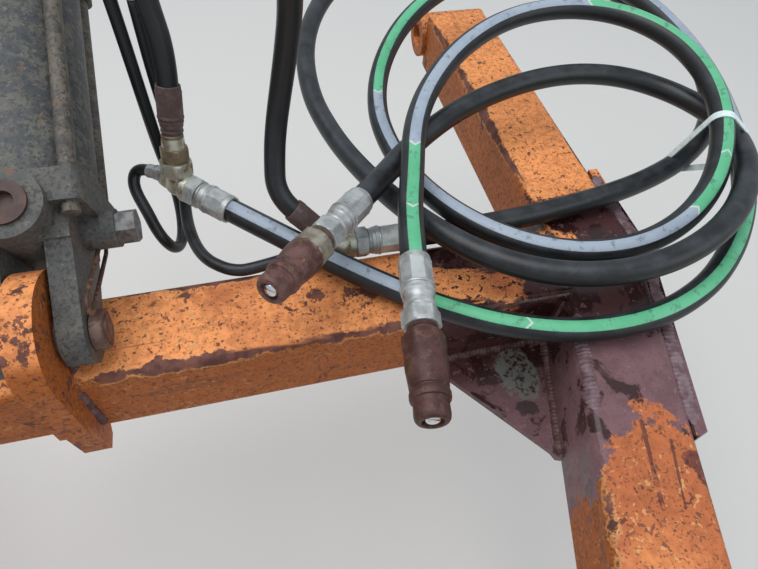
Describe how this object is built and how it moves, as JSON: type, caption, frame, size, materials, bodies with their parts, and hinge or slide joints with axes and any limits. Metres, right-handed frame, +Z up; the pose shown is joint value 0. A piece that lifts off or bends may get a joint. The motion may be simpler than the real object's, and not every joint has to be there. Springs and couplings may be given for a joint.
{
  "type": "field aerator drawbar with lift cylinder",
  "caption": "A-frame drawbar of square steel tube with a hitch clevis, rear hinge eyes, a pinned hydraulic lift cylinder and coiled hoses with quick couplers.",
  "frame": {"origin": "on the common axis of the two rear hinge eyes, at the drawbar's centreline", "axes": "+X to the right along the hinge axis, +Y rearwards from the hitch to the hinge eyes, +Z up off the frame's plane"},
  "size_m": [1.5293, 2.6121, 0.5749],
  "materials": {
    "frame_paint": "weathered orange paint with rust",
    "cylinder_cast": "weathered dark casting",
    "barrel_paint": "weathered dark paint",
    "zinc_steel": "dull zinc plate",
    "rod_chrome": "polished",
    "fitting_brass": "zinc with a rust tint",
    "hose_rubber": "dull black",
    "coupler_steel": "dark rusty steel",
    "pin_steel": "worn rusty steel"
  },
  "bodies": {
    "drawbar": {"rear_leg_right": "frame_paint", "rear_leg_left": "frame_paint", "front_leg_right": "frame_paint", "front_leg_left": "frame_paint", "hinge_eye_right": "frame_paint", "hinge_eye_left": "frame_paint", "kink_doubler_right": "frame_paint", "kink_doubler_left": "frame_paint", "corner_gusset_right": "frame_paint", "corner_gusset_left": "frame_paint", "lower_gusset_right": "frame_paint", "lower_gusset_left": "frame_paint", "crossbar": "frame_paint", "cylinder_lug": "frame_paint", "nose_plate_top": "frame_paint", "nose_plate_bottom": "frame_paint", "hitch_head_plate": "frame_paint", "hitch_clevis": "frame_paint", "lug_pin": "pin_steel", "pin_spacer_right": "pin_steel", "pin_spacer_left": "pin_steel", "supply_hose_first": "hose_rubber", "supply_tee_end_first": "zinc_steel", "supply_far_end_first": "zinc_steel", "supply_hose_second": "hose_rubber", "supply_tee_end_second": "zinc_steel", "supply_far_end_second": "zinc_steel", "riser_hose_first": "hose_rubber", "riser_tee_end_first": "zinc_steel", "riser_hose_second": "hose_rubber", "riser_tee_end_second": "zinc_steel", "thin_hose_first": "hose_rubber", "thin_tee_end_first": "zinc_steel", "thin_far_end_first": "zinc_steel", "thin_hose_second": "hose_rubber", "thin_tee_end_second": "zinc_steel", "thin_far_end_second": "zinc_steel", "tee_first": "fitting_brass", "tee_second": "fitting_brass", "coupler_first": "coupler_steel", "coupler_second": "coupler_steel", "thin_cap_first": "zinc_steel", "thin_cap_second": "zinc_steel"},
    "lift_cylinder": {"cylinder_base": "cylinder_cast", "cylinder_barrel": "barrel_paint", "cylinder_head_cap": "cylinder_cast", "tie_rods": "pin_steel", "port_plugs": "zinc_steel", "head_port_elbow": "zinc_steel", "base_port_elbow": "zinc_steel", "riser_far_end_first": "zinc_steel", "riser_far_end_second": "zinc_steel"},
    "cylinder_rod": {"piston_rod": "rod_chrome", "rod_clevis": "cylinder_cast"}
  },
  "joints": [
    {"name": "cylinder_pivot", "type": "hinge", "parent": "drawbar", "child": "lift_cylinder", "pos_m": [0, -0.581, 0.084], "axis": [1, 0, 0], "range_deg": [-15, 30], "deforming": ["riser_hose_first", "riser_hose_second"]},
    {"name": "rod_stroke", "type": "slide", "parent": "lift_cylinder", "child": "cylinder_rod", "axis": [0, 0.9205, 0.3907], "range_m": [0, 0.2032]}
  ]
}
